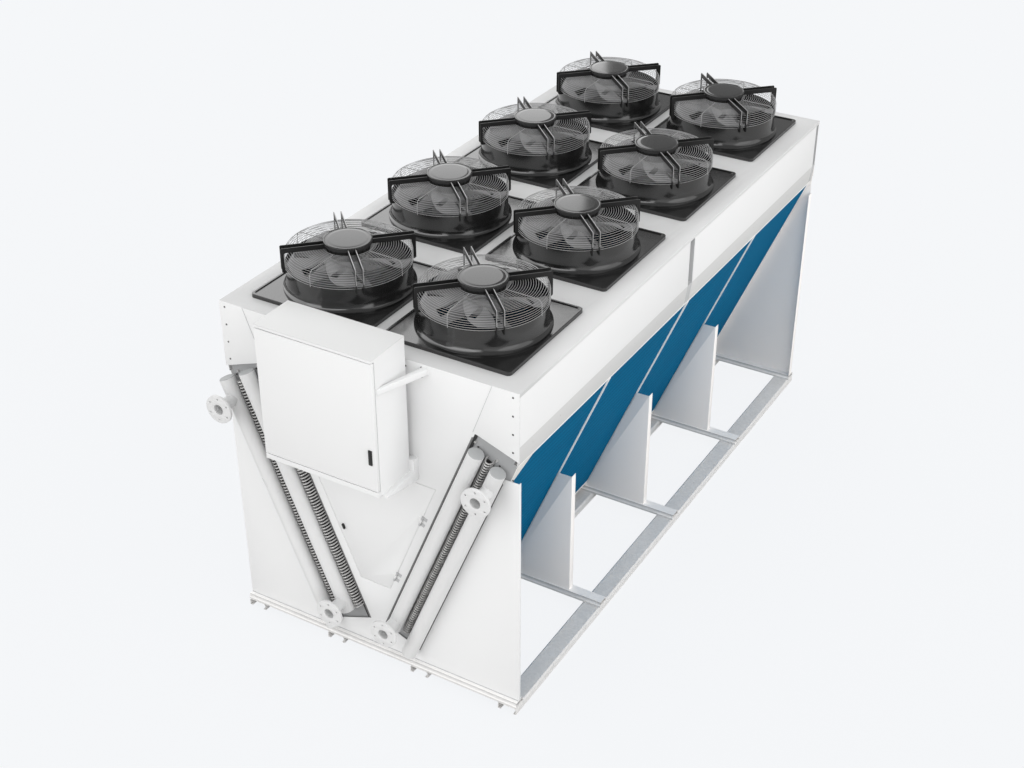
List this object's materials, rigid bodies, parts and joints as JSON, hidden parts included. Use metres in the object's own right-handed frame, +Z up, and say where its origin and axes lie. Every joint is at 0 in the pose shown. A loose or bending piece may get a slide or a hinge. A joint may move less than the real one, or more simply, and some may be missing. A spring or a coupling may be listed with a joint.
{
  "type": "dry cooler",
  "caption": "Dry cooler: finned coils leaning apart under a deck of guarded axial fans, on a rail frame, with flanged header pipes and a control cabinet at the front end.",
  "frame": {"origin": "middle of the unit's footprint on the ground, cabinet included", "axes": "+X to the right seen from the control cabinet's end, +Y along the unit away from the cabinet, +Z up"},
  "size_m": [2.3039, 5.416, 2.9172],
  "materials": {
    "white_coat": "satin",
    "galvanised": "matte",
    "gloss_black": "gloss",
    "dark_metal": "satin",
    "motor_grey": "satin",
    "blade_grey": "matte",
    "fin_blue": "satin",
    "pipe_metal": "satin",
    "bend_metal": "satin"
  },
  "bodies": {
    "casing": {"base_rails": "galvanised", "cross_channels": "galvanised", "support_plates_1": "white_coat", "support_plates_2": "white_coat", "support_plates_3": "white_coat", "coil_frame_left": "white_coat", "coil_frame_right": "white_coat", "front_wall": "white_coat", "back_wall": "white_coat", "fan_deck": "white_coat", "corner_plate_left": "white_coat", "corner_plate_right": "white_coat", "plenum_side_left": "white_coat", "plenum_side_right": "white_coat", "cabinet_body": "white_coat", "cabinet_brackets": "white_coat", "joint_posts_left": "galvanised", "joint_posts_right": "galvanised", "access_hinges": "galvanised", "fan_housings": "gloss_black", "motor_carriers": "motor_grey", "coil_fins_left": "fin_blue", "coil_fins_right": "fin_blue", "outer_header_left": "pipe_metal", "outer_header_right": "pipe_metal", "inner_header_left": "pipe_metal", "inner_header_right": "pipe_metal", "return_bends_left": "bend_metal", "return_bends_right": "bend_metal"},
    "cabinet_door": {"cabinet_door": "white_coat", "cabinet_handle": "dark_metal"},
    "access_door": {"access_door": "white_coat", "access_latch": "dark_metal"},
    "fan_rotor_1": {"fan_rotor_1": "blade_grey"},
    "fan_rotor_2": {"fan_rotor_2": "blade_grey"},
    "fan_rotor_3": {"fan_rotor_3": "blade_grey"},
    "fan_rotor_4": {"fan_rotor_4": "blade_grey"},
    "fan_rotor_5": {"fan_rotor_5": "blade_grey"},
    "fan_rotor_6": {"fan_rotor_6": "blade_grey"},
    "fan_rotor_7": {"fan_rotor_7": "blade_grey"},
    "fan_rotor_8": {"fan_rotor_8": "blade_grey"}
  },
  "joints": [
    {"name": "cabinet_door_hinge", "type": "hinge", "parent": "casing", "child": "cabinet_door", "pos_m": [-0.515, -2.693, 2.264], "axis": [0, 0, -1], "range_deg": [0, 110]},
    {"name": "access_door_hinge", "type": "hinge", "parent": "casing", "child": "access_door", "pos_m": [0.32521, -2.309, 1.147], "axis": [0.3778, 0, 0.9259], "range_deg": [0, 90]},
    {"name": "fan_rotor_1_spin", "type": "hinge", "parent": "casing", "child": "fan_rotor_1", "pos_m": [-0.524, -1.6855, 2.7445], "axis": [0, 0, 1], "continuous": true},
    {"name": "fan_rotor_2_spin", "type": "hinge", "parent": "casing", "child": "fan_rotor_2", "pos_m": [-0.524, -0.4385, 2.7445], "axis": [0, 0, 1], "continuous": true},
    {"name": "fan_rotor_3_spin", "type": "hinge", "parent": "casing", "child": "fan_rotor_3", "pos_m": [-0.524, 0.8085, 2.7445], "axis": [0, 0, 1], "continuous": true},
    {"name": "fan_rotor_4_spin", "type": "hinge", "parent": "casing", "child": "fan_rotor_4", "pos_m": [-0.524, 2.0555, 2.7445], "axis": [0, 0, 1], "continuous": true},
    {"name": "fan_rotor_5_spin", "type": "hinge", "parent": "casing", "child": "fan_rotor_5", "pos_m": [0.524, -1.6855, 2.7445], "axis": [0, 0, 1], "continuous": true},
    {"name": "fan_rotor_6_spin", "type": "hinge", "parent": "casing", "child": "fan_rotor_6", "pos_m": [0.524, -0.4385, 2.7445], "axis": [0, 0, 1], "continuous": true},
    {"name": "fan_rotor_7_spin", "type": "hinge", "parent": "casing", "child": "fan_rotor_7", "pos_m": [0.524, 0.8085, 2.7445], "axis": [0, 0, 1], "continuous": true},
    {"name": "fan_rotor_8_spin", "type": "hinge", "parent": "casing", "child": "fan_rotor_8", "pos_m": [0.524, 2.0555, 2.7445], "axis": [0, 0, 1], "continuous": true}
  ]
}
